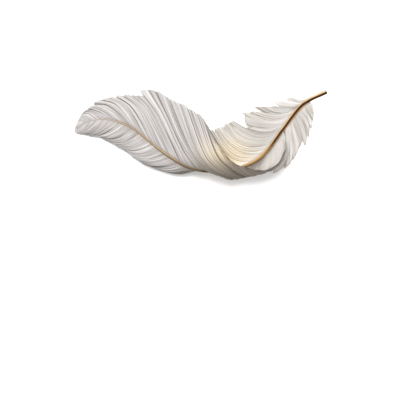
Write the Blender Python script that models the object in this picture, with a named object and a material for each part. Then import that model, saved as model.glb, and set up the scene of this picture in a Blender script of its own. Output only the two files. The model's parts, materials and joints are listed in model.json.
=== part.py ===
"""A curled goose feather lying on a flat surface: one shaft with webs of barbs on both sides.

X runs from the feather's tip (-X) to the cut end of the quill (+X) and Z is up. The origin is the middle of the
whole feather's bounding box, at the height of the surface it lies on. Lengths below are in millimetres.

The feather is twisted half a turn about its shaft. Its outer half shows the smooth back of the webs and its quill
half shows their hollow front. The wide inner web rolls up and over the shaft in the middle. The narrow outer web
has parted there, so that its quill half and its outer half are separate pieces. Next to the bare quill both webs
have parted again into softer, looser lobes.

Each web is a thin sheet drawn through guide barbs. A guide barb starts on the shaft, at a share of the shaft's
length from the cut end of the quill, and then passes through the points listed after that share.
"""

import bpy
import numpy as np

MM = 0.001

WEB_THICKNESS = 0.8
ROOT_GAP = 0.4
BARB_STEPS = 11
SHAFT_RINGS = 56
SHAFT_END = 0.955

SHAFT_ROUTE = [
    (100.5, 33.5, 13),
    (82, 24, 8),
    (66, 4, 6),
    (51, -15.5, 5.5),
    (33, -26.5, 7),
    (10, -30, 10.5),
    (-9.5, -27, 12),
    (-31, -14, 12),
    (-53, 3.5, 10),
    (-71, 11, 8),
    (-84.5, 11.5, 5.5),
    (-93, 9, 4),
    (-100, 3.5, 2.5),
]

# (share of the shaft's length, radius): a fat quill that thins to a hair at the tip.
SHAFT_RADIUS = [
    (0, 1.7), (0.1, 1.7), (0.2, 1.55), (0.3, 1.35), (0.4, 1.1), (0.6, 0.85), (0.8, 0.5), (0.955, 0.25), (1, 0.2),
]

# The wide web. It starts at the horn, rolls up and over the shaft, then spreads out to the tip.
INNER_VANE = [
    (0.198, (68, -2, 6.5), (68.5, -8.5, 9), (68.5, -13, 12), (66.5, -14.5, 15.5)),
    (0.215, (65.5, -6, 5.5), (67, -13, 8), (66, -20.5, 13.5), (61, -24.5, 18)),
    (0.24, (62, -10, 5), (63.5, -18.5, 8), (60, -27.5, 14.5), (49, -30, 20.5)),
    (0.275, (55.5, -19, 4), (54, -28, 7.5), (45, -32.5, 16), (31.5, -26, 23.5)),
    (0.295, (51, -23, 3.5), (48.5, -31, 8), (36.5, -33, 17.5), (22.5, -21, 25.5)),
    (0.315, (46.5, -27, 3.5), (41.5, -33.5, 9.5), (26, -28, 22), (9.5, -3, 25.5)),
    (0.335, (43, -29, 3.5), (36.5, -34, 10), (15, -21, 24), (2, 12, 18.5)),
    (0.355, (37.5, -31, 5), (29.5, -35, 12), (5.5, -21, 23.5), (-11, 21, 13.5)),
    (0.385, (30.5, -33, 7), (22, -35.5, 14), (-0.5, -19, 21.5), (-17, 24, 11)),
    (0.42, (20.5, -34, 10.5), (11, -31.5, 16), (-5, -14.5, 19.5), (-22, 27, 9.5)),
    (0.463, (10.5, -32, 14), (-0.5, -25, 17.5), (-12.5, -6, 17.5), (-26.5, 29.5, 8)),
    (0.505, (0.5, -27, 15.5), (-8, -18, 17.5), (-19.5, 2.5, 16), (-31, 32.5, 6)),
    (0.54, (-8.5, -22, 16), (-15, -11, 16.5), (-25, 11, 13.5), (-37, 35, 4)),
    (0.57, (-14.5, -19, 15.5), (-20.5, -6, 16), (-29, 13, 12.5), (-42, 35, 3)),
    (0.62, (-25.5, -9, 14.5), (-32, 4.5, 14), (-41, 20.5, 9.5), (-53, 32.5, 1.8)),
    (0.684, (-37.5, -3, 14), (-43, 8.5, 13), (-51, 22, 8.5), (-64, 32, 1.6)),
    (0.751, (-51, 6, 12), (-57, 15.5, 11), (-66, 24.5, 7), (-78, 29, 1.8)),
    (0.813, (-64, 13, 10), (-70.5, 18.5, 9), (-78.5, 23, 6), (-89, 23, 2)),
    (0.875, (-77, 15, 8), (-82.5, 18, 7), (-89, 19.5, 5), (-96, 16, 2.5)),
    (0.95, (-91.5, 12.5, 5), (-94, 14, 4.5), (-96.5, 13.5, 3.5), (-99, 10.5, 2.5)),
    (0.985, (-99, 6, 3), (-99.5, 6.5, 3), (-100, 7, 2.5), (-100.5, 7.5, 2.5)),
]

# The wide web's loose lobes beside the quill. They lie flat, under the horn.
INNER_BASE = [
    (0.062, (88, 25, 8), (89.5, 21.5, 6.5), (91, 17.5, 5)),
    (0.09, (84, 20, 7), (87.5, 16, 5), (90.5, 11.5, 3.5)),
    (0.113, (81, 14.5, 6), (84.5, 7.5, 4), (87.5, 0.5, 2.5)),
    (0.135, (77, 9.5, 5), (81, 1, 3), (84.5, -8, 2)),
    (0.158, (72.5, 2.5, 4.5), (75, -8.5, 2), (76, -19, 1.5)),
    (0.175, (69.5, -1, 4), (71, -12.5, 1.5), (70.5, -24.5, 1)),
    (0.19, (67, -3.5, 3.5), (65, -17, 1), (60.5, -30.5, 1)),
]

# The narrow web's loose lobes beside the quill.
OUTER_BASE = [
    (0.065, (81.5, 27, 9), (77, 28, 9), (72, 29.5, 9)),
    (0.093, (74.5, 21, 7.5), (67, 22, 8), (60, 25, 9)),
    (0.125, (64.5, 15.5, 6.5), (53, 17, 7.5), (43, 21.5, 9.5)),
    (0.158, (59, 9, 6), (46, 11, 7.5), (33.5, 16.5, 10)),
    (0.185, (58, 4, 6), (47, 4.5, 7), (36, 7, 9)),
]

# The quill half of the narrow web. It curls up at its edge, then dives under the wide web.
OUTER_MIDDLE = [
    (0.193, (57.5, 1.5, 6), (46.5, 1, 7.5), (35, 5.5, 10), (25.5, 11, 13)),
    (0.243, (50, -7.5, 5.5), (39, -7.5, 7), (27.5, -2.5, 9.5), (19, 8.5, 13)),
    (0.289, (42, -15, 5), (32.5, -13.5, 6), (22, -6.5, 8), (13, 5, 11.5)),
    (0.345, (32.5, -21.5, 5), (24.5, -18, 5), (15.5, -9, 6), (8, 3, 8.5)),
    (0.389, (26, -24.5, 5.5), (18, -19, 4), (9, -9, 4), (2, 1, 5)),
    (0.433, (15.5, -26.5, 7), (7.5, -20.5, 4), (-0.5, -12.5, 2.5), (-7, -5, 2.5)),
    (0.473, (5.5, -28, 8), (-2, -23.5, 4), (-9.5, -17, 2), (-15.5, -11.5, 1.5)),
]

# The outer half of the narrow web, drooping from the shaft to the surface.
OUTER_TIP = [
    (0.515, (-2.5, -29.5, 8), (-11, -31.5, 5.5), (-19, -31.5, 3.5), (-26, -30, 1.5)),
    (0.54, (-10, -30, 8), (-18, -31.5, 5.5), (-25.5, -30.5, 3), (-32.5, -28.5, 1.5)),
    (0.57, (-18, -29, 9), (-26, -29.5, 6.5), (-35, -27.5, 3.5), (-43, -25, 1.5)),
    (0.63, (-31.5, -22.5, 9.5), (-39.5, -23.5, 7.5), (-47, -22, 4.5), (-54.5, -17.5, 1.6)),
    (0.684, (-41, -15, 10), (-49, -16.5, 8), (-57, -14.5, 5), (-64.5, -10.5, 1.8)),
    (0.751, (-52.5, -6, 9.5), (-59.5, -8.5, 7.5), (-67, -8, 4.5), (-75, -5, 1.8)),
    (0.803, (-62.5, 1, 8.5), (-69, -2, 7), (-75, -3, 4.5), (-82, -1.5, 1.8)),
    (0.856, (-72.5, 6, 7.5), (-78, 2.5, 6), (-84, 0, 4), (-90, -0.5, 1.6)),
    (0.925, (-86, 8.5, 5), (-89.5, 5, 4), (-93, 2, 3), (-97, 0.5, 1.8)),
    (0.985, (-99.5, 3, 2.5), (-99.5, 2.5, 2.5), (-99, 1.5, 2), (-98.5, 0.5, 2)),
]

# name: (guide barbs, rows of barbs, colour)
WEBS = {
    "inner_vane": (INNER_VANE, 72, (0.8, 0.78, 0.75)),
    "inner_base": (INNER_BASE, 14, (0.85, 0.83, 0.8)),
    "outer_base": (OUTER_BASE, 14, (0.85, 0.83, 0.8)),
    "outer_middle": (OUTER_MIDDLE, 30, (0.8, 0.76, 0.7)),
    "outer_tip": (OUTER_TIP, 36, (0.78, 0.77, 0.75)),
}


def through(shares, values, at):
    """Smooth curves through values known at some shares, which never overshoot those values."""
    x = np.array(shares, float)
    y = np.array(values, float).reshape(len(x), -1)
    step = np.diff(x)[:, None]
    rise = np.diff(y, axis=0) / step
    slope = np.zeros_like(y)
    slope[0], slope[-1] = rise[0], rise[-1]
    before, after = rise[:-1], rise[1:]
    same = before * after > 0
    slope[1:-1][same] = 2 * before[same] * after[same] / (before[same] + after[same])
    i = np.clip(np.searchsorted(x, at) - 1, 0, len(step) - 1)
    t = (np.clip(at, x[0], x[-1]) - x[i])[:, None] / step[i]
    ends = (1 + 2 * t) * (1 - t) ** 2 * y[i] + t * t * (3 - 2 * t) * y[i + 1]
    return ends + (t * (1 - t) ** 2 * slope[i] - t * t * (1 - t) * slope[i + 1]) * step[i]


def rounded(points, steps):
    """Points along a rounded line through each row of control points; points has the shape (rows, knots, 3)."""
    p = np.concatenate([2 * points[:, :1] - points[:, 1:2], points, 2 * points[:, -1:] - points[:, -2:-1]], axis=1)
    line = []
    for u in np.linspace(0, points.shape[1] - 1, steps + 1):
        i = min(int(u), points.shape[1] - 2)
        t = u - i
        a, b, c, d = p[:, i], p[:, i + 1], p[:, i + 2], p[:, i + 3]
        bend = (2 * a - 5 * b + 4 * c - d) * t**2 + (3 * b - a - 3 * c + d) * t**3
        line.append(0.5 * (2 * b + (c - a) * t + bend))
    return np.stack(line, axis=1)


def evenly_spaced(line, count):
    along = np.concatenate([[0], np.cumsum(np.linalg.norm(np.diff(line, axis=0), axis=1))])
    at = np.linspace(0, along[-1], count)
    return np.stack([np.interp(at, along, line[:, k]) for k in range(3)], axis=1)


AXIS = evenly_spaced(rounded(np.array([SHAFT_ROUTE], float), 600)[0], 1001)


def on_shaft(share):
    return np.stack([np.interp(share, np.linspace(0, 1, len(AXIS)), AXIS[:, k]) for k in range(3)], axis=1)


def shaft_radius(share):
    return through([r[0] for r in SHAFT_RADIUS], [r[1] for r in SHAFT_RADIUS], share)


def web_grid(guides, rows):
    """The web's middle surface: one row of points for each barb, from its root on the shaft to its end."""
    share = np.linspace(guides[0][0], guides[-1][0], rows)
    knots = through([g[0] for g in guides], [np.ravel(g[1:]) for g in guides], share).reshape(rows, -1, 3)
    centre = on_shaft(share)
    along = on_shaft(share + 0.001) - on_shaft(share - 0.001)
    along /= np.linalg.norm(along, axis=1)[:, None]
    away = knots[:, 0] - centre
    away -= along * np.sum(away * along, axis=1)[:, None]
    away /= np.linalg.norm(away, axis=1)[:, None]
    root = centre + away * (shaft_radius(share) + ROOT_GAP)
    return rounded(np.concatenate([root[:, None], knots], axis=1), BARB_STEPS)


def surface_material(name, colour, roughness):
    made = bpy.data.materials.new(name)
    made.use_nodes = True
    principled = made.node_tree.nodes["Principled BSDF"]
    principled.inputs["Base Color"].default_value = (*colour, 1)
    principled.inputs["Roughness"].default_value = roughness
    return made


def add(name, data, colour, roughness):
    made = bpy.data.objects.new(name, data)
    bpy.context.scene.collection.objects.link(made)
    data.materials.append(surface_material(name, colour, roughness))
    return made


def make_shaft():
    curve = bpy.data.curves.new("shaft", "CURVE")
    curve.dimensions = "3D"
    curve.bevel_depth = MM
    curve.bevel_resolution = 3
    curve.use_fill_caps = True
    share = np.linspace(0, SHAFT_END, SHAFT_RINGS)
    route = curve.splines.new("POLY")
    route.points.add(SHAFT_RINGS - 1)
    for point, place, radius in zip(route.points, on_shaft(share), shaft_radius(share)[:, 0]):
        point.co = (*(place * MM), 1)
        point.radius = radius
    return add("shaft", curve, (0.35, 0.2, 0.08), 0.4)


def make_web(name, guides, rows, colour):
    grid = web_grid(guides, rows) * MM
    index = np.arange(rows * grid.shape[1]).reshape(rows, -1)
    corners = np.stack([index[:-1, :-1], index[:-1, 1:], index[1:, 1:], index[1:, :-1]], axis=-1)
    mesh = bpy.data.meshes.new(name)
    mesh.from_pydata(grid.reshape(-1, 3).tolist(), [], corners.reshape(-1, 4).tolist())
    made = add(name, mesh, colour, 0.7)
    shell = made.modifiers.new("thickness", "SOLIDIFY")
    shell.thickness = WEB_THICKNESS * MM
    shell.offset = 0
    return made


def stand_on_origin(pieces):
    """Move everything so that the lowest point is at z = 0 and the plan's bounding box is centred."""
    bpy.context.view_layer.update()
    scene_state = bpy.context.evaluated_depsgraph_get()
    low, high = np.full(3, np.inf), np.full(3, -np.inf)
    for piece in pieces:
        solid = piece.evaluated_get(scene_state)
        mesh = solid.to_mesh()
        points = np.array([vertex.co[:] for vertex in mesh.vertices])
        low, high = np.minimum(low, points.min(axis=0)), np.maximum(high, points.max(axis=0))
        solid.to_mesh_clear()
    shift = (-(low[0] + high[0]) / 2, -(low[1] + high[1]) / 2, -low[2])
    for piece in pieces:
        piece.location = shift


def main():
    for old in list(bpy.data.objects):
        bpy.data.objects.remove(old)
    pieces = [make_shaft()]
    for name, (guides, rows, colour) in WEBS.items():
        pieces.append(make_web(name, guides, rows, colour))
    stand_on_origin(pieces)


main()
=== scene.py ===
import json
import math

import bpy
import numpy as np
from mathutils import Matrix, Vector


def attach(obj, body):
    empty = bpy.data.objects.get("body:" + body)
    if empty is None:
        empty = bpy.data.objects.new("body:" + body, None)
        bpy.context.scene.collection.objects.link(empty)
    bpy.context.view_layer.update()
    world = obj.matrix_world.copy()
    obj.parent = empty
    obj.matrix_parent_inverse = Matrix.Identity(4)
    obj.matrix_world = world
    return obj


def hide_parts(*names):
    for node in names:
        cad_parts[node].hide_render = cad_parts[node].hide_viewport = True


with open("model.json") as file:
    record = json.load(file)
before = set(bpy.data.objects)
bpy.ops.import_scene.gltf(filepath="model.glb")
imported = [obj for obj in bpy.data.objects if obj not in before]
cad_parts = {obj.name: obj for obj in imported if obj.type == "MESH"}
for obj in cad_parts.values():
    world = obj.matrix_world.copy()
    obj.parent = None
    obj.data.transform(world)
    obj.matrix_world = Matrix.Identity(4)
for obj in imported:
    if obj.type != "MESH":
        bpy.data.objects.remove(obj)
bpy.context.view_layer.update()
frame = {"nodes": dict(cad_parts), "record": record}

mm = 0.001
record = frame["record"]
print("frame loaded:", record["type"], "with", len(frame["nodes"]), "solids")

# the feather is drawn in mm, then moved by this much to sit on the frame's origin
drawingShift = np.array([-0.372, 0.749, -0.431])

# shaft axis from the cut end of the quill to the tip
shaftRoute = [
    (100.5, 33.5, 13), (82, 24, 8), (66, 4, 6), (51, -15.5, 5.5), (33, -26.5, 7),
    (10, -30, 10.5), (-9.5, -27, 12), (-31, -14, 12), (-53, 3.5, 10), (-71, 11, 8),
    (-84.5, 11.5, 5.5), (-93, 9, 4), (-100, 3.5, 2.5),
]

shaftRadius = [
    (0, 1.7), (0.1, 1.7), (0.2, 1.55), (0.3, 1.35), (0.4, 1.1), (0.6, 0.85), (0.8, 0.5), (0.955, 0.25),
    (1, 0.2),
]

# how far the feather has turned about its shaft: 180 shows the hollow front, 0 the smooth back
shaftRoll = [
    (0, 180), (0.3, 180), (0.39, 172), (0.433, 150), (0.48, 125), (0.525, 92), (0.56, 70),
    (0.6, 48), (0.65, 30), (0.7, 20), (0.8, 12), (1, 5),
]

# guide barbs: share of the shaft where the barb grows, then the points it passes through
innerVaneGuides = [
    (0.198, (68, -2, 6.5), (68.5, -8.5, 9), (68.5, -13, 12), (66.5, -14.5, 15.5)),
    (0.215, (65.5, -6, 5.5), (67, -13, 8), (66, -20.5, 13.5), (61, -24.5, 18)),
    (0.24, (62, -10, 5), (63.5, -18.5, 8), (60, -27.5, 14.5), (49, -30, 20.5)),
    (0.275, (55.5, -19, 4), (54, -28, 7.5), (45, -32.5, 16), (31.5, -26, 23.5)),
    (0.295, (51, -23, 3.5), (48.5, -31, 8), (36.5, -33, 17.5), (22.5, -21, 25.5)),
    (0.315, (46.5, -27, 3.5), (41.5, -33.5, 9.5), (26, -28, 22), (9.5, -3, 25.5)),
    (0.335, (43, -29, 3.5), (36.5, -34, 10), (15, -21, 24), (2, 12, 18.5)),
    (0.355, (37.5, -31, 5), (29.5, -35, 12), (5.5, -21, 23.5), (-11, 21, 13.5)),
    (0.385, (30.5, -33, 7), (22, -35.5, 14), (-0.5, -19, 21.5), (-17, 24, 11)),
    (0.42, (20.5, -34, 10.5), (11, -31.5, 16), (-5, -14.5, 19.5), (-22, 27, 9.5)),
    (0.463, (10.5, -32, 14), (-0.5, -25, 17.5), (-12.5, -6, 17.5), (-26.5, 29.5, 8)),
    (0.505, (0.5, -27, 15.5), (-8, -18, 17.5), (-19.5, 2.5, 16), (-31, 32.5, 6)),
    (0.54, (-8.5, -22, 16), (-15, -11, 16.5), (-25, 11, 13.5), (-37, 35, 4)),
    (0.57, (-14.5, -19, 15.5), (-20.5, -6, 16), (-29, 13, 12.5), (-42, 35, 3)),
    (0.62, (-25.5, -9, 14.5), (-32, 4.5, 14), (-41, 20.5, 9.5), (-53, 32.5, 1.8)),
    (0.684, (-37.5, -3, 14), (-43, 8.5, 13), (-51, 22, 8.5), (-64, 32, 1.6)),
    (0.751, (-51, 6, 12), (-57, 15.5, 11), (-66, 24.5, 7), (-78, 29, 1.8)),
    (0.813, (-64, 13, 10), (-70.5, 18.5, 9), (-78.5, 23, 6), (-89, 23, 2)),
    (0.875, (-77, 15, 8), (-82.5, 18, 7), (-89, 19.5, 5), (-96, 16, 2.5)),
    (0.95, (-91.5, 12.5, 5), (-94, 14, 4.5), (-96.5, 13.5, 3.5), (-99, 10.5, 2.5)),
    (0.985, (-99.2, 5.2, 3), (-100, 5.5, 3), (-100.7, 5.4, 2.5), (-101.3, 4.8, 2.5)),
    (1, (-100.4, 3.6, 2.5), (-100.8, 3.4, 2.5), (-101.2, 3, 2.5), (-101.5, 2.6, 2.5)),
]

innerBaseGuides = [
    (0.062, (88, 25, 8), (89.5, 21.5, 6.5), (91, 17.5, 5)),
    (0.09, (84, 20, 7), (87.5, 16, 5), (90.5, 11.5, 3.5)),
    (0.113, (81, 14.5, 6), (84.5, 7.5, 4), (87.5, 0.5, 2.5)),
    (0.135, (77, 9.5, 5), (81, 1, 3), (84.5, -8, 2)),
    (0.158, (72.5, 2.5, 4.5), (75, -8.5, 2), (76, -19, 1.5)),
    (0.175, (69.5, -1, 5), (71, -12.5, 4.5), (70.5, -24.5, 2)),
    (0.19, (67.5, -5, 6), (67, -16.5, 7.5), (60.5, -30.5, 4)),
    (0.2, (66.5, -6, 6.5), (66.5, -17, 9.5), (58.5, -30.5, 6)),
]

outerBaseGuides = [
    (0.065, (81.5, 27, 9), (77, 28, 9), (72, 29.5, 9)),
    (0.093, (74.5, 21, 7.5), (67, 22, 8), (60, 25, 9)),
    (0.125, (64.5, 15.5, 6.5), (53, 17, 7.5), (43, 21.5, 9.5)),
    (0.158, (59, 9, 6), (46, 11, 7.5), (33.5, 16.5, 10)),
    (0.185, (58, 4, 6), (47, 4.5, 7), (36, 7, 9)),
    (0.196, (57, 1, 5.5), (46, 1, 6.5), (35.5, 5, 8)),
]

outerMiddleGuides = [
    (0.193, (57.5, 1.5, 6), (46.5, 1, 7.5), (35, 5.5, 10), (25.5, 11, 13)),
    (0.243, (50, -7.5, 5.5), (39, -7.5, 7), (27.5, -2.5, 9.5), (19, 8.5, 13)),
    (0.289, (42, -15, 5), (32.5, -13.5, 6.5), (22, -6.5, 10), (13, 5, 14)),
    (0.345, (32.5, -21.5, 5), (24.5, -18, 6), (15.5, -9, 10), (8, 3, 13)),
    (0.389, (26, -24.5, 5.5), (18, -19, 5), (9, -9, 7.5), (2, 1, 9)),
    (0.433, (15.5, -26.5, 7), (7.5, -20.5, 4), (-0.5, -12.5, 2.5), (-7, -5, 2.5)),
    (0.473, (5.5, -28, 8), (-2, -23.5, 4), (-9.5, -17, 2), (-15.5, -11.5, 1.5)),
]

outerTipGuides = [
    (0.515, (-2.5, -29.5, 8), (-11, -31.5, 5.5), (-19, -31.5, 3.5), (-26, -30, 1.5)),
    (0.54, (-10, -30, 8), (-18, -31.5, 5.5), (-25.5, -30.5, 3), (-32.5, -28.5, 1.5)),
    (0.57, (-18, -29, 9), (-26, -29.5, 6.5), (-35, -27.5, 3.5), (-43, -25, 1.5)),
    (0.63, (-31.5, -22.5, 9.5), (-39.5, -23.5, 7.5), (-47, -22, 4.5), (-54.5, -17.5, 1.6)),
    (0.684, (-41, -15, 10), (-49, -16.5, 8), (-57, -14.5, 5), (-64.5, -10.5, 1.8)),
    (0.751, (-52.5, -6, 9.5), (-59.5, -8.5, 7.5), (-67, -8, 4.5), (-75, -5, 1.8)),
    (0.803, (-62.5, 1, 8.5), (-69, -2, 7), (-75, -3, 4.5), (-82, -1.5, 1.8)),
    (0.856, (-72.5, 6, 7.5), (-78, 2.5, 6), (-84, 0, 4), (-90, -0.5, 1.6)),
    (0.925, (-86, 8.5, 5), (-89.5, 5, 4), (-93, 2, 3), (-97, 0.5, 1.8)),
    (0.985, (-99.3, 3, 2.5), (-99.6, 2.3, 2.5), (-99.8, 1.6, 2), (-99.8, 0.9, 2)),
    (1, (-100.3, 3.3, 2.5), (-100.7, 2.9, 2.5), (-101, 2.5, 2.5), (-101.2, 2.1, 2.5)),
]


def unit(v):
    return v / np.maximum(np.linalg.norm(v, axis=-1, keepdims=True), 1e-9)


def ease(t):
    t = np.clip(t, 0, 1)
    return t * t * (3 - 2 * t)


def through(places, values, at):  # smooth curves that never overshoot the known values
    x = np.array(places, float)
    y = np.array(values, float).reshape(len(x), -1)
    step = np.diff(x)[:, None]
    rise = np.diff(y, axis=0) / step
    slope = np.zeros_like(y)
    slope[0], slope[-1] = rise[0], rise[-1]
    before, after = rise[:-1], rise[1:]
    same = before * after > 0
    slope[1:-1][same] = 2 * before[same] * after[same] / (before[same] + after[same])
    i = np.clip(np.searchsorted(x, at) - 1, 0, len(step) - 1)
    t = (np.clip(at, x[0], x[-1]) - x[i])[:, None] / step[i]
    ends = (1 + 2 * t) * (1 - t) ** 2 * y[i] + t * t * (3 - 2 * t) * y[i + 1]
    return ends + (t * (1 - t) ** 2 * slope[i] - t * t * (1 - t) * slope[i + 1]) * step[i]


def readTable(table, at):
    return through([row[0] for row in table], [row[1] for row in table], np.ravel(at))[:, 0]


def alongKnots(knots, along):  # rounded line through each row of knots; past 1 it runs straight on
    before = 2 * knots[:, :1] - knots[:, 1:2]
    after = 2 * knots[:, -1:] - knots[:, -2:-1]
    ghost = np.concatenate([before, knots, after], axis=1)
    last = knots.shape[1] - 1
    u = along * last
    i = np.clip(u.astype(int), 0, last - 1)
    t = np.clip(u - i, 0, 1)[:, None]
    row = np.arange(len(knots))
    a, b, c, d = (ghost[row, i + k] for k in range(4))
    bend = (2 * a - 5 * b + 4 * c - d) * t**2 + (3 * b - a - 3 * c + d) * t**3
    beyond = np.clip(u - last, 0, None)[:, None]
    return 0.5 * (2 * b + (c - a) * t + bend) + beyond * (c - b)


def makeAxis():
    route = np.array([shaftRoute], float) + drawingShift
    line = alongKnots(np.repeat(route, 601, axis=0), np.linspace(0, 1, 601))
    travelled = np.concatenate([[0], np.cumsum(np.linalg.norm(np.diff(line, axis=0), axis=1))])
    at = np.linspace(0, travelled[-1], 1001)
    return np.stack([np.interp(at, travelled, line[:, k]) for k in range(3)], axis=1), travelled[-1]


axis, shaftLength = makeAxis()
axisShares = np.linspace(0, 1, len(axis))


def shaftAt(share):
    return np.stack([np.interp(share, axisShares, axis[:, k]) for k in range(3)], axis=-1)


def shaftFrame(share):  # centre, direction to the tip, and the direction that the feather's back faces
    centre = shaftAt(share)
    heading = unit(shaftAt(share + 0.002) - shaftAt(share - 0.002))
    level = unit(np.cross(heading, [0, 0, 1.0]))
    upright = np.cross(level, heading)
    roll = np.radians(readTable(shaftRoll, share))[:, None]
    return centre, heading, np.cos(roll) * upright - np.sin(roll) * level


def webPoints(guides, share, along, sunk=0.55):
    shape = np.shape(share)
    share, along = np.ravel(share), np.ravel(along)
    places = [g[0] for g in guides]
    knots = through(places, [np.ravel(g[1:]) for g in guides], share)
    knots = knots.reshape(len(share), -1, 3) + drawingShift
    centre, heading, back = shaftFrame(share)
    away = knots[:, 0] - centre
    away = unit(away - heading * np.sum(away * heading, axis=1, keepdims=True))
    root = centre + away * (readTable(shaftRadius, share) * sunk)[:, None]
    return alongKnots(np.concatenate([root[:, None], knots], axis=1), along).reshape(*shape, 3)


def webNormals(guides, side, share, along):  # towards the feather's back
    near, far = guides[0][0] + 0.003, guides[-1][0] - 0.003
    share = np.clip(share, near, far)
    along = np.clip(along, 0.02, 0.98)
    across = webPoints(guides, share + 0.003, along) - webPoints(guides, share - 0.003, along)
    outward = webPoints(guides, share, along + 0.02) - webPoints(guides, share, along - 0.02)
    return unit(np.cross(outward, across) if side == "inner" else np.cross(across, outward))


def newObject(name, points, faces, numbers=None, uv=None):
    mesh = bpy.data.meshes.new(name)
    mesh.from_pydata((points * mm).tolist(), [], faces.tolist())
    for key, values in (numbers or {}).items():
        mesh.attributes.new(key, "FLOAT", "POINT").data.foreach_set("value", np.asarray(values, np.float32))
    if uv is not None:
        corner = np.zeros(len(mesh.loops), int)
        mesh.loops.foreach_get("vertex_index", corner)
        mesh.uv_layers.new(name="barbs").data.foreach_set("uv", uv[corner].astype(np.float32).ravel())
    mesh.shade_smooth()
    made = bpy.data.objects.new(name, mesh)
    bpy.context.scene.collection.objects.link(made)
    return made


def sheetFaces(rows, columns, start=0):
    index = start + np.arange(rows * columns).reshape(rows, columns)
    return np.stack([index[:-1, :-1], index[:-1, 1:], index[1:, 1:], index[1:, :-1]], axis=-1).reshape(-1, 4)


# nodes: each helper makes one node and returns the socket that the next one reads
class Graph:
    def __init__(self, name):
        self.material = bpy.data.materials.new(name)
        self.material.use_nodes = True
        self.tree = self.material.node_tree
        self.surface = self.tree.nodes["Principled BSDF"]
        self.output = self.tree.nodes["Material Output"]

    def node(self, kind, inputs=None, **settings):
        made = self.tree.nodes.new("ShaderNode" + kind)
        for key, value in settings.items():
            setattr(made, key, value)
        for key, value in (inputs or {}).items():
            if isinstance(value, bpy.types.NodeSocket):
                self.tree.links.new(value, made.inputs[key])
            else:
                made.inputs[key].default_value = value
        return made

    def number(self, name):
        return self.node("Attribute", attribute_name=name).outputs["Fac"]

    def maths(self, operation, a, b=0.0, c=0.0):
        return self.node("Math", {0: a, 1: b, 2: c}, operation=operation).outputs[0]

    def noise(self, vector, stretch, scale=1.0, detail=2.0, roughness=0.5):
        scaled = self.node("VectorMath", {0: vector, 1: stretch}, operation="MULTIPLY").outputs[0]
        settings = {"Vector": scaled, "Scale": scale, "Detail": detail, "Roughness": roughness}
        return self.node("TexNoise", settings).outputs["Fac"]

    def mapped(self, value, low, high, toLow=0.0, toHigh=1.0):
        ends = {"From Min": low, "From Max": high, "To Min": toLow, "To Max": toHigh}
        return self.node("MapRange", {"Value": value, **ends}).outputs["Result"]

    def mix(self, factor, a, b, blend="MIX"):
        made = self.node("Mix", data_type="RGBA", blend_type=blend)
        for socket, value in ((made.inputs[0], factor), (made.inputs[6], a), (made.inputs[7], b)):
            if isinstance(value, bpy.types.NodeSocket):
                self.tree.links.new(value, socket)
            else:
                socket.default_value = value
        return made.outputs[2]

    def tint(self, colour, mask, amount, over):
        return self.mix(self.maths("MULTIPLY", mask, amount), colour, (*over, 1))


# noise cells per mm across the barbs and along them
barbGrain = {
    "broad": (0.3, 0.016, 1),
    "fine": (0.85, 0.03, 1),
    "hair": (5.0, 0.1, 1),
    "cloudy": (0.08, 0.06, 1),
}


def webMaterial(name, look):
    g = Graph(name)
    barb = g.node("UVMap", uv_map="barbs").outputs["UV"]
    broad = g.noise(barb, barbGrain["broad"], detail=2)
    fine = g.noise(barb, barbGrain["fine"], detail=3, roughness=0.55)
    hair = g.noise(barb, barbGrain["hair"], detail=2)
    cloudy = g.noise(barb, barbGrain["cloudy"], detail=2)
    colour = g.mix(g.mapped(broad, 0.36, 0.64), (*look["dark"], 1), (*look["light"], 1))
    colour = g.tint(colour, g.mapped(fine, 0.5, 0.34), look["streaks"], look["streak"])
    colour = g.tint(colour, g.mapped(fine, 0.54, 0.68), look["gleams"], look["gleam"])
    colour = g.tint(colour, g.mapped(hair, 0.58, 0.42), look["hairs"], look["streak"])
    colour = g.tint(colour, g.mapped(cloudy, 0.4, 0.65), look["blushes"], look["blush"])
    # these masks come from the mesh
    colour = g.tint(colour, g.number("hollow"), look["hollows"], look["hollow"])
    # painted warm glow deep in the fold
    colour = g.tint(colour, g.number("warmGlow"), look["paintedGlow"], look["glowCream"])
    # painted shade: brown beside the shaft where the vane dips down to it
    colour = g.tint(colour, g.number("root"), look["roots"], look["root"])
    # painted shade in the creases between locks, in strand valleys and on the sheets beneath
    colour = g.tint(colour, g.number("paintedShade"), look["paintedShades"], look["paintedShade"])
    # painted shade on the turned-under side of the fold and along its rolled rim
    colour = g.tint(colour, g.number("foldShade"), look["foldShades"], look["foldShade"])
    # a random tone for each lock, with a painted highlight along its top edge
    toneAndHighlight = g.mapped(g.number("toneAndHighlight"), 0, 1, 1 - look["contrast"], 1 + look["contrast"])
    grey = g.node("CombineColor", {0: toneAndHighlight, 1: toneAndHighlight, 2: toneAndHighlight}).outputs[0]
    colour = g.mix(1.0, colour, grey, "MULTIPLY")
    g.tree.links.new(colour, g.surface.inputs["Base Color"])
    g.surface.inputs["Roughness"].default_value = look["roughness"]
    g.surface.inputs["Specular IOR Level"].default_value = look["specular"]
    g.surface.inputs["Sheen Weight"].default_value = look["sheen"]
    g.surface.inputs["Sheen Roughness"].default_value = look["sheenRoughness"]
    height = g.maths("ADD", g.maths("MULTIPLY", hair, 0.5), fine)
    bump = g.node("Bump", {"Height": height, "Strength": look["bump"], "Distance": look["bumpDepth"] * mm})
    g.tree.links.new(bump.outputs[0], g.surface.inputs["Normal"])
    behind = g.node("BsdfTranslucent", {"Color": colour})
    blended = g.node("MixShader", {0: look["glow"], 1: g.surface.outputs[0], 2: behind.outputs[0]})
    g.tree.links.new(blended.outputs[0], g.output.inputs["Surface"])
    return g.material


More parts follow.
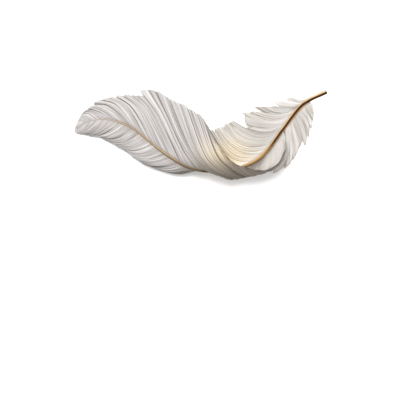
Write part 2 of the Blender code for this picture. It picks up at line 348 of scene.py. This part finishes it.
webLook = {
    "dark": (0.38, 0.36, 0.35),
    "light": (0.60, 0.585, 0.575),
    "streak": (0.20, 0.18, 0.165),
    "gleam": (0.71, 0.70, 0.69),
    "blush": (0.48, 0.43, 0.42),
    # colour of a painted warm glow deep in the fold
    "glowCream": (0.58, 0.45, 0.28),
    "hollow": (0.90, 0.86, 0.80),
    "root": (0.22, 0.155, 0.08),
    # colour of painted shade in the creases between locks
    "paintedShade": (0.12, 0.098, 0.08),
    # colour of painted shade on the turned-under fold
    "foldShade": (0.155, 0.126, 0.095),
    # how strongly each colour is laid on
    "streaks": 0.55,
    "gleams": 0.6,
    "hairs": 0.2,
    "blushes": 0.35,
    "hollows": 0.5,
    "paintedGlow": 0.8,
    "roots": 0.6,
    "paintedShades": 0.9,
    "foldShades": 0.85,
    "contrast": 0.12,
    "roughness": 0.55,
    "specular": 0.3,
    "sheen": 0.1,
    "sheenRoughness": 0.4,
    "bump": 0.4,
    "bumpDepth": 0.4,  # mm
    "glow": 0.14,  # share of the light that comes through from behind
}

# the hollow front is paler and creamier than the back
frontLook = {
    "dark": (0.57, 0.54, 0.505),
    "light": (0.80, 0.785, 0.76),
    "streak": (0.33, 0.285, 0.245),
    "gleam": (0.90, 0.89, 0.87),
    "blush": (0.61, 0.555, 0.53),
    "glowCream": (0.92, 0.78, 0.56),
    "root": (0.50, 0.31, 0.15),
    "roots": 0.75,
    "paintedShade": (0.22, 0.18, 0.14),
    "paintedShades": 0.75,
    "glow": 0.25,
}


def lockBorders(web, lobe, rng):
    low, high = (width / shaftLength for width in web["lockWidth"])
    cuts = [lobe[0]]
    while cuts[-1] < lobe[1] - low * 0.6:
        fan = np.interp(cuts[-1], [f[0] for f in web["fan"]], [f[1] for f in web["fan"]])
        cuts.append(cuts[-1] + rng.uniform(low, high) / fan)
    cuts = lobe[0] + (np.array(cuts) - lobe[0]) * (lobe[1] - lobe[0]) / (cuts[-1] - lobe[0])
    cuts[-1] = lobe[1]
    return list(zip(cuts[:-1], cuts[1:]))


def uneven(rng, count, every):  # a slow random wobble, -1 to 1, over a row of barbs
    knots = np.arange(0, count + every, every)
    return np.interp(np.arange(count), knots, rng.uniform(-1, 1, len(knots)))[None]


def layLock(web, low, high, lobe, rng, under=False):
    middle, half = (low + high) / 2, (high - low) / 2
    seen = 1 if web["seen"] == "back" else -1
    v = np.linspace(0, 1, web["rows"])[:, None]
    body = np.sin(np.clip(v * 1.6, 0, 1) * math.pi / 2)
    tuck = 0 if under else web["overlap"]
    fan = np.interp(middle, [f[0] for f in web["fan"]], [f[1] for f in web["fan"]])
    barbs = max(3, int(round(2 * half * (1 + tuck) * shaftLength * fan / web["barbPitch"])))
    columns = 2 * barbs + 1
    w = np.linspace(-1 - 2 * tuck, 1, columns)[None]  # the near edge slides under its neighbour
    start = np.ravel(middle + w * half)
    barbEnd = webPoints(web["guides"], np.array([middle]), np.array([1.0]))[0]
    barbLength = np.linalg.norm(barbEnd - shaftAt(middle))
    small = min(1, barbLength / 18) ** 1.5  # short barbs near the tip lie flatter
    slack = 1 / barbLength  # one millimetre, as a share of a barb
    reach = np.interp(start, lobe[:2], lobe[2:])[None]
    # barbs tucked under the lobe before end short, so that notches stay open
    beside = np.clip((lobe[0] - start) / max(2 * tuck * half, 1e-6), 0, 1)
    ridges = web["ridge"] * (np.arange(columns) % 2)[None] * np.sin(np.clip(v * 8, 0, 1) * math.pi / 2)
    if under:
        share = np.broadcast_to(middle + w * half, (web["rows"], columns))
        reach = reach * (1 - slack * (web["underShort"] + web["jag"] * uneven(rng, columns, 4)))
        height = ridges - seen * web["underDrop"] * body
        # painted shade on the sheet beneath the locks, where it shows through the slits between them
        shade = np.full(share.shape, web["underShade"])
        toneAndHighlight = 0.5
    else:
        loose = rng.uniform(0, 1) ** 2
        gather = (0.3 + 0.7 * loose) * web["gather"] * ease((v - rng.uniform(*web["gatherFrom"])) / 0.4)
        sway = rng.uniform(-1, 1) * web["stray"] * half * ease(v)
        sway = sway + 0.1 * half * np.sin(v * rng.uniform(3, 7) + rng.uniform(0, 6))
        share = middle + w * half * (1 - gather) + sway * np.minimum(v * 3, 1)
        tipShape = web["tipDrop"] * (0.4 + loose) * np.abs(w - web["tipLean"]) ** 2.2
        tipShape = tipShape + web["jag"] * uneven(rng, columns, 3) + web["ragged"] * rng.uniform(-1, 1)
        reach = reach * (1 - web["notch"] * beside) * (1 - slack * tipShape)
        waves = [[rng.uniform(*span) for span in ((0.4, 1), (3, 9), (-3, 3), (0, 6.3))] for _ in range(4)]
        strand = sum(size * np.sin(w * across + v * along + turn) for size, across, along, turn in waves)
        depth = rng.uniform(0.3, 1.3)
        crown = seen * web["bulge"] * (1 - np.clip(np.abs(w), 0, 1) ** 2)
        height = ridges + small * body * (depth * (crown + web["shingle"] * w / 2) + web["strand"] * strand)
        height = height + small * seen * web["tipLift"] * (loose * 1.4 - 0.3) * ease((v - 0.7) / 0.3)
        tuckedSide = -seen * w
        atNotch = low == lobe[0] if seen > 0 else high == lobe[1]
        deep = 1 if atNotch else rng.uniform(0.1, 1) ** 1.5
        # painted shade: darker where a lock's edge tucks under its neighbour and in the valleys between
        # strands, and darker at the barb tips
        shade = deep * ease((tuckedSide - 0.72) / 0.28) * (0.5 + 0.5 * body)
        shade = shade + 0.25 * deep * ease((tuckedSide - 0.2) / 0.8)
        shade = shade + web["valleys"] * body * ease((-strand - 0.5) / 0.9)
        shade = np.clip(shade + web["edgeShade"] * ease((v - 0.95) / 0.05), 0, 1)
        # painted highlight: the edge that lies on top is made lighter, over a random tone for each lock
        toneAndHighlight = rng.uniform(0, 0.7) + 0.3 * ease((-tuckedSide - 0.7) / 0.2)
    along = v * reach
    surface = webPoints(web["guides"], share, along)
    normal = webNormals(web["guides"], web["side"], share, along)
    length = np.linalg.norm(np.diff(surface[:, columns // 2], axis=0), axis=1).sum()
    across = (start * shaftLength * fan + rng.uniform(0, 50))[None]
    return {
        "points": surface + normal * height[..., None],
        "uv": np.stack(np.broadcast_arrays(across, v * length), axis=-1),
        "toneAndHighlight": np.broadcast_to(toneAndHighlight, share.shape),
        "paintedShade": shade,
        # painted shade: brown beside the shaft where the vane dips down to it
        "root": small * (1 - ease(v * length / web["rootFade"])) * ease((0.93 - share) / 0.12),
        "warmGlow": paintedGlow(surface),
        "hollow": web["hollow"] * ease((0.15 - normal[..., 2]) / 0.35) * ease((0.31 - share) / 0.03),
        "foldShade": paintedFoldShade(web, surface, normal),
    }


# where the painted warm glow and the painted fold shade lie about the fold, mm
foldTones = {
    "glowPlace": (21, -17),
    "glowSize": (19, 13),
    "foldShadeStart": -9,
    "foldShadeFade": 31,
    "foldShadeSlant": 0.25,
    "foldShadeLeft": -34,
    "foldShadeLeftFade": 26,
}


def paintedGlow(p):  # painted warm glow: cream deep in the fold and beside the shaft there stands in for light coming warm through the vane
    away = (p[..., :2] - foldTones["glowPlace"]) / foldTones["glowSize"]
    return np.exp(-np.sum(away**2, axis=-1))


def paintedFoldShade(web, p, normal):  # painted shade: the turned-under side of the fold is darkened, and so is a band along its rolled rim
    if not web["foldShaded"]:
        return np.zeros(p.shape[:2])
    below = foldTones["foldShadeStart"] - p[..., 1] + foldTones["foldShadeSlant"] * p[..., 0]
    under = ease(below / foldTones["foldShadeFade"]) * ease((normal[..., 2] + 0.6) / 0.5)
    under = under * ease((p[..., 0] - foldTones["foldShadeLeft"]) / foldTones["foldShadeLeftFade"])
    if not web["rim"]:
        return under
    rimShare = np.linspace(*web["rim"], 80)
    rim = webPoints(web["guides"], rimShare, np.ones(80))
    away = np.full(p.shape[:2], 99.0)
    for point in rim:
        away = np.minimum(away, np.linalg.norm(p - point, axis=-1))
    return np.maximum(under, ease((web["rimBand"] - away) / 1.0))


def makeWeb(name, web):
    rng = np.random.default_rng(web["seed"])
    locks = []
    for lobe in web["lobes"]:
        locks.append(layLock(web, lobe[0], lobe[1], lobe, rng, True))
        for low, high in lockBorders(web, lobe, rng):
            locks.append(layLock(web, low, high, lobe, rng))
    faces, count = [], 0
    for lock in locks:
        rows, columns = lock["toneAndHighlight"].shape
        faces.append(sheetFaces(rows, columns, count))
        count += rows * columns
    points = np.concatenate([lock["points"].reshape(-1, 3) for lock in locks])
    points[:, 2] = np.maximum(points[:, 2], 0.05)  # nothing sinks into the floor
    uv = np.concatenate([lock["uv"].reshape(-1, 2) for lock in locks])
    masks = ("toneAndHighlight", "paintedShade", "root", "warmGlow", "hollow", "foldShade")
    numbers = {key: np.concatenate([np.ravel(lock[key]) for lock in locks]) for key in masks}
    made = newObject(name, points, np.concatenate(faces), numbers, uv)
    made.data.materials.append(webMaterial(name, {**webLook, **web.get("look", {})}))
    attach(made, "root")
    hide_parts(web["slot"])
    print("made", name, "from", len(locks), "locks,", len(made.data.polygons), "faces")
    return made


plainWeb = {
    "rows": 44,
    "barbPitch": 0.55,
    "lockWidth": (3.5, 10.0),
    "fan": [(0, 1), (1, 1)],  # how much wider apart the barbs end than they start
    "overlap": 0.3,
    "stray": 0.3,
    "gather": 0.14,
    "gatherFrom": (0.7, 0.9),
    "tipDrop": 0.5,
    "tipLean": 0.3,
    "jag": 0.2,
    "ragged": 0.25,
    "notch": 0.15,
    "bulge": 0.3,
    "shingle": 0.6,
    "ridge": 0.06,
    "strand": 0.12,
    "valleys": 0.4,
    "rootFade": 6.5,
    "edgeShade": 0.0,
    "tipLift": 0.3,
    "underShort": 0.8,
    "underDrop": 0.45,
    "underShade": 0.35,
    "foldShaded": False,
    "hollow": 0,
    "rim": None,
    "seen": "back",
}

innerVane = {
    **plainWeb,
    "slot": "inner_vane",
    "side": "inner",
    "guides": innerVaneGuides,
    "seed": 11,
    "fan": [(0.2, 1), (0.28, 1.2), (0.3, 2.6), (0.36, 2.6), (0.385, 1.2), (0.42, 0.9), (1, 1)],
    "tipDrop": 0.3,
    "jag": 0.12,
    "ragged": 0.12,
    "foldShaded": True,
    "hollow": 1,
    "look": {"glowCream": (0.77, 0.63, 0.41), "root": (0.25, 0.18, 0.105), "roots": 0.85},
    # a band of painted shade along the rolled rim between these shares, rimBand mm wide
    "rim": (0.198, 0.262),
    "rimBand": 2.4,
    # parts of the web between notches in its edge: from, to, reach of the barbs at each end
    "lobes": [
        (0.198, 0.334, 1, 1), (0.334, 0.352, 1.01, 0.995), (0.352, 0.45, 1.01, 1), (0.45, 0.535, 1, 1.005),
        (0.535, 0.595, 1, 1.03), (0.595, 0.665, 0.965, 1.01), (0.665, 0.71, 0.975, 1),
        (0.71, 0.8, 0.98, 1.01), (0.8, 0.87, 0.96, 1), (0.87, 1, 0.98, 1),
    ],
}

outerTip = {
    **plainWeb,
    "slot": "outer_tip",
    "side": "outer",
    "guides": outerTipGuides,
    "seed": 23,
    "rows": 34,
    "lockWidth": (3.0, 7.0),
    "foldShaded": True,
    "edgeShade": 0.2,
    "look": {"roots": 0.35},
    "lobes": [
        (0.515, 0.54, 1.04, 0.95), (0.54, 0.571, 1.08, 0.91), (0.571, 0.607, 1.1, 0.89),
        (0.607, 0.657, 1.12, 0.88), (0.657, 0.73, 1.14, 0.87), (0.73, 0.84, 1.13, 0.9), (0.84, 1, 1.03, 1),
    ],
}

outerMiddle = {
    **plainWeb,
    "slot": "outer_middle",
    "side": "outer",
    "guides": outerMiddleGuides,
    "seed": 31,
    "rows": 36,
    "seen": "front",
    "rootFade": 4.5,
    "look": {
        **frontLook,
        "dark": (0.62, 0.59, 0.555),
        "light": (0.84, 0.825, 0.8),
        "glowCream": (1.0, 0.88, 0.67),
        "paintedGlow": 1.0,
        "streaks": 0.4,
        "paintedShades": 0.5,
        "glow": 0.35,
    },
    "lobes": [(0.193, 0.225, 1, 0.98), (0.225, 0.262, 1, 0.97), (0.262, 0.473, 0.99, 1)],
}

raggedWeb = {
    **plainWeb,
    "rows": 30,
    "lockWidth": (3.5, 6),
    "overlap": 0.4,
    "gather": 0.25,
    "gatherFrom": (0.6, 0.8),
    "tipDrop": 1.0,
    "jag": 0.4,
    "ragged": 0.5,
    "tipLift": 0.6,
    "underShort": 1.8,
    "notch": 0.35,
    "edgeShade": 0.8,
    "rootFade": 4.5,
    "seen": "front",
    "look": {**frontLook, "light": (0.75, 0.735, 0.71), "gleams": 0.45},
}

innerBase = {
    **raggedWeb,
    "slot": "inner_base",
    "side": "inner",
    "guides": innerBaseGuides,
    "seed": 41,
    "gather": 0.1,
    "tipDrop": 0.7,
    "jag": 0.2,
    "ragged": 0.2,
    "lobes": [
        (0.062, 0.074, 0.98, 1), (0.074, 0.093, 0.89, 1.02), (0.093, 0.105, 0.89, 1.02),
        (0.105, 0.121, 0.89, 1.03), (0.121, 0.137, 0.93, 1.02), (0.137, 0.164, 0.82, 1),
        (0.164, 0.18, 0.97, 1.02), (0.18, 0.2, 0.97, 1.02),
    ],
}

outerBase = {
    **raggedWeb,
    "slot": "outer_base",
    "side": "outer",
    "guides": outerBaseGuides,
    "seed": 53,
    "look": {
        **frontLook,
        "dark": (0.55, 0.52, 0.485),
        "light": (0.74, 0.725, 0.7),
        "gleam": (0.88, 0.87, 0.85),
    },
    "lobes": [
        (0.062, 0.094, 0.96, 1.03), (0.094, 0.1265, 0.78, 1.03), (0.1265, 0.16, 0.8, 1.03),
        (0.16, 0.184, 1.0, 1.0), (0.184, 0.196, 0.9, 0.95),
    ],
}

makeWeb("innerVane", innerVane)
makeWeb("outerTip", outerTip)
makeWeb("outerMiddle", outerMiddle)
makeWeb("innerBase", innerBase)
makeWeb("outerBase", outerBase)


quill = {
    "rings": 300,
    "sides": 28,
    "end": 0.955,  # share of the shaft past which it is lost among the barbs
    "squareness": 3.2,
    "grooveDepth": 0.2,
    "grooveWidth": 0.45,
    "horn": (0.38, 0.26, 0.14),
    "pale": (0.52, 0.38, 0.235),
    "brown": (0.042, 0.016, 0.003),
    "amber": (0.33, 0.185, 0.06),
    "bronze": (0.15, 0.11, 0.065),
    # colour and strength of painted shade on the shaft under the fold
    "shaftShade": (0.085, 0.06, 0.033),
    "shaftShading": 0.9,
    "faded": (0.34, 0.31, 0.28),
    "grain": (2.5, 0.15, 1),
    "roughness": 0.45,
    "specular": 0.06,
    "bump": 0.2,
    "bumpDepth": 0.2,  # mm
}


def makeQuill():
    rings, sides = quill["rings"], quill["sides"]
    share = np.linspace(0, quill["end"], rings)
    centre, heading, back = shaftFrame(share)
    side = np.cross(heading, back)
    radius = readTable(shaftRadius, share)[:, None]
    turn = np.linspace(0, 2 * math.pi, sides, endpoint=False)[None]  # 0 is the feather's back, pi its front
    power = quill["squareness"]
    square = 1 / (np.abs(np.cos(turn)) ** power + np.abs(np.sin(turn)) ** power) ** (1 / power)
    boxy = ease((share - 0.1) / 0.15)[:, None]
    front = np.abs(turn - math.pi)
    groove = quill["grooveDepth"] * np.exp(-((front / quill["grooveWidth"]) ** 2))
    groove = groove * ease((share - 0.07) / 0.08)[:, None]
    r = radius * ((1 - boxy) + boxy * square * 0.94) * (1 - groove)
    outward = np.cos(turn)[..., None] * back[:, None] + np.sin(turn)[..., None] * side[:, None]
    p = centre[:, None] + r[..., None] * outward
    points = p.reshape(-1, 3)
    index = np.arange(rings * sides).reshape(rings, sides)
    beside = np.roll(index, -1, axis=1)
    faces = np.stack([index[:-1], beside[:-1], beside[1:], index[1:]], axis=-1).reshape(-1, 4)
    # cut end: a rim, then a shallow dark hollow
    rim = []
    start = len(points)
    for shrink, depth in ((0.72, 0.0), (0.66, 0.9), (0.3, 1.6), (0.02, 1.8)):
        rim.append(centre[0] + (p[0] - centre[0]) * shrink + heading[0] * depth)
    points = np.concatenate([points] + rim)
    loops = [index[0]] + [start + k * sides + np.arange(sides) for k in range(len(rim))]
    for a, b in zip(loops[:-1], loops[1:]):
        faces = np.concatenate([faces, np.stack([b, np.roll(b, -1), np.roll(a, -1), a], axis=-1)])
    tipRing = len(points)
    points = np.concatenate([points, (centre[-1] + heading[-1] * 0.3)[None]])
    middleOfTip = np.full(sides, tipRing)
    cap = np.stack([index[-1], np.roll(index[-1], -1), middleOfTip, middleOfTip], axis=-1)
    # brown runs down the groove; near the cut end and from the fold on, the side turned away from the key
    # light is painted dark instead, as painted shade
    s = share[:, None]
    level = unit(np.cross(heading, [0, 0, 1.0]))
    facing = unit(p - centre[:, None]) @ level[..., None]
    facing = facing[..., 0]
    shadedSide = ease((0.3 - facing) / 0.4)
    band = ease((0.7 - np.abs(facing + 0.12)) / 0.25)
    middle = ease((s - 0.05) / 0.06) * ease((0.36 - s) / 0.1)
    brownAndShade = shadedSide * (1 - middle) + band * middle
    extra = len(points) - brownAndShade.size
    brownAndShade = np.concatenate([np.broadcast_to(brownAndShade, (rings, sides)).ravel(), np.full(extra, 1.0)])
    place = np.concatenate([np.broadcast_to(s, (rings, sides)).ravel(), np.zeros(extra)])
    around = np.concatenate([np.broadcast_to(turn, (rings, sides)).ravel(), np.zeros(extra)])
    uv = np.stack([around, place * shaftLength], axis=-1)
    made = newObject("quill", points, faces, {"brownAndShade": brownAndShade, "place": place}, uv)
    made.data.materials.append(quillMaterial())
    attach(made, "root")
    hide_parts("shaft")
    print("made quill")
    return made


def quillMaterial():
    g = Graph("horn")
    uv = g.node("UVMap", uv_map="barbs").outputs["UV"]
    grain = g.noise(uv, quill["grain"], detail=3)
    # brown groove, and painted shade on the side turned away from the key light
    brownAndShade = g.number("brownAndShade")
    place = g.number("place")
    horn = g.mix(g.mapped(grain, 0.35, 0.65), (*quill["horn"], 1), (*quill["pale"], 1))
    brownAndShadeGrained = g.maths("ADD", brownAndShade, g.mapped(grain, 0.3, 0.7, -0.15, 0.15))
    # dark by the cut end, golden where it meets the fold, bronze beyond it
    brown = g.mix(g.mapped(place, 0.245, 0.31), (*quill["brown"], 1), (*quill["amber"], 1))
    brown = g.mix(g.mapped(place, 0.42, 0.52), brown, (*quill["bronze"], 1))
    colour = g.mix(g.mapped(brownAndShadeGrained, 0.2, 0.8), horn, brown)
    faded = g.mapped(place, 0.78, 0.92)  # the thin end is as pale as the webs
    colour = g.mix(faded, colour, (*quill["faded"], 1))
    # painted shade: darker where the shaft runs under and beside the fold
    shaded = g.maths("MULTIPLY", g.mapped(place, 0.34, 0.42), g.mapped(place, 0.68, 0.56))
    colour = g.tint(colour, shaded, quill["shaftShading"], quill["shaftShade"])
    g.tree.links.new(colour, g.surface.inputs["Base Color"])
    g.surface.inputs["Roughness"].default_value = quill["roughness"]
    g.surface.inputs["Specular IOR Level"].default_value = quill["specular"]
    bump = g.node("Bump", {"Height": grain, "Strength": quill["bump"], "Distance": quill["bumpDepth"] * mm})
    g.tree.links.new(bump.outputs[0], g.surface.inputs["Normal"])
    return g.material


makeQuill()

studio = {
    "floor": (0.9, 0.89, 0.88),
    "floorHalf": 1.6,
    "floorRoughness": 0.8,
    "world": 0.95,
    "key": 9.0,
    "keyPlace": (-0.15, 0.4, 0.75),
    "keySize": 0.5,
    "lens": 100,
    "sensor": 36,
    "span": 0.32,  # metres of floor across the picture
    "cameraPlace": (-0.0007, -0.052),  # the feather lies in the upper part of the frame
    "cameraLift": 0.008,
}


def aim(thing, target):
    direction = np.array(target, float) - np.array(thing.location)
    thing.rotation_mode = "QUATERNION"
    thing.rotation_quaternion = Vector(direction).to_track_quat("-Z", "Y")


def makeStudio():
    half = studio["floorHalf"]
    corners = [(-half, -half, 0), (half, -half, 0), (half, half, 0), (-half, half, 0)]
    floor = bpy.data.meshes.new("floor")
    floor.from_pydata(corners, [], [(0, 1, 2, 3)])
    floorObject = bpy.data.objects.new("floor", floor)
    bpy.context.scene.collection.objects.link(floorObject)
    g = Graph("floor")
    g.surface.inputs["Base Color"].default_value = (*studio["floor"], 1)
    g.surface.inputs["Roughness"].default_value = studio["floorRoughness"]
    floor.materials.append(g.material)

    world = bpy.data.worlds.new("studio")
    bpy.context.scene.world = world
    world.use_nodes = True
    world.node_tree.nodes["Background"].inputs["Color"].default_value = (1, 1, 1, 1)
    world.node_tree.nodes["Background"].inputs["Strength"].default_value = studio["world"]

    lamp = bpy.data.lights.new("key", "AREA")
    lamp.energy = studio["key"]
    lamp.size = studio["keySize"]
    key = bpy.data.objects.new("key", lamp)
    key.location = studio["keyPlace"]
    bpy.context.scene.collection.objects.link(key)
    aim(key, (0, 0, 0))

    camera = bpy.data.cameras.new("camera")
    camera.lens = studio["lens"]
    camera.sensor_width = studio["sensor"]
    view = bpy.data.objects.new("camera", camera)
    height = studio["span"] * studio["lens"] / studio["sensor"]
    view.location = (*studio["cameraPlace"], height + studio["cameraLift"])
    bpy.context.scene.collection.objects.link(view)
    bpy.context.scene.camera = view
    bpy.context.scene.view_settings.view_transform = "Standard"
    print("made studio")


makeStudio()
